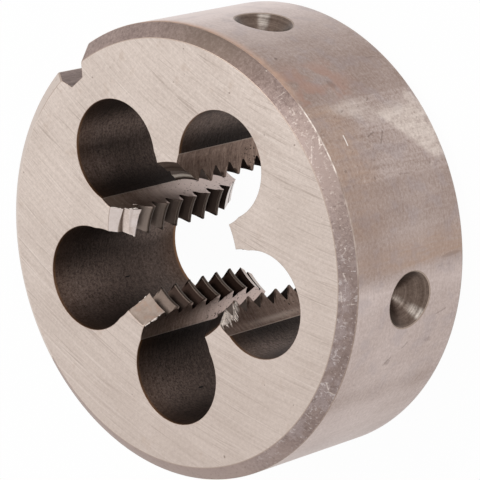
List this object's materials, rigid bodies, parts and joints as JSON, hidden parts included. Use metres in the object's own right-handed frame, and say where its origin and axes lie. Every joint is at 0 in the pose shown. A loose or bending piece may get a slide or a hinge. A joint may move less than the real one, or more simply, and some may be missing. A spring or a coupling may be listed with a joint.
{
  "type": "threading die",
  "caption": "Round button die with a slotted rim, cone screw seats, chip holes and toothed lands that cut a right-hand metric thread on a rod.",
  "frame": {"origin": "centre of the back face, which the die lies on", "axes": "+Z along the thread's axis, out of the front face; +Y through the adjusting slot in the rim"},
  "size_m": [0.045, 0.0448, 0.018],
  "materials": {
    "die_steel": "ground faces, matte hardened rim"
  },
  "bodies": {
    "root": {"die_body": "die_steel"}
  },
  "joints": []
}
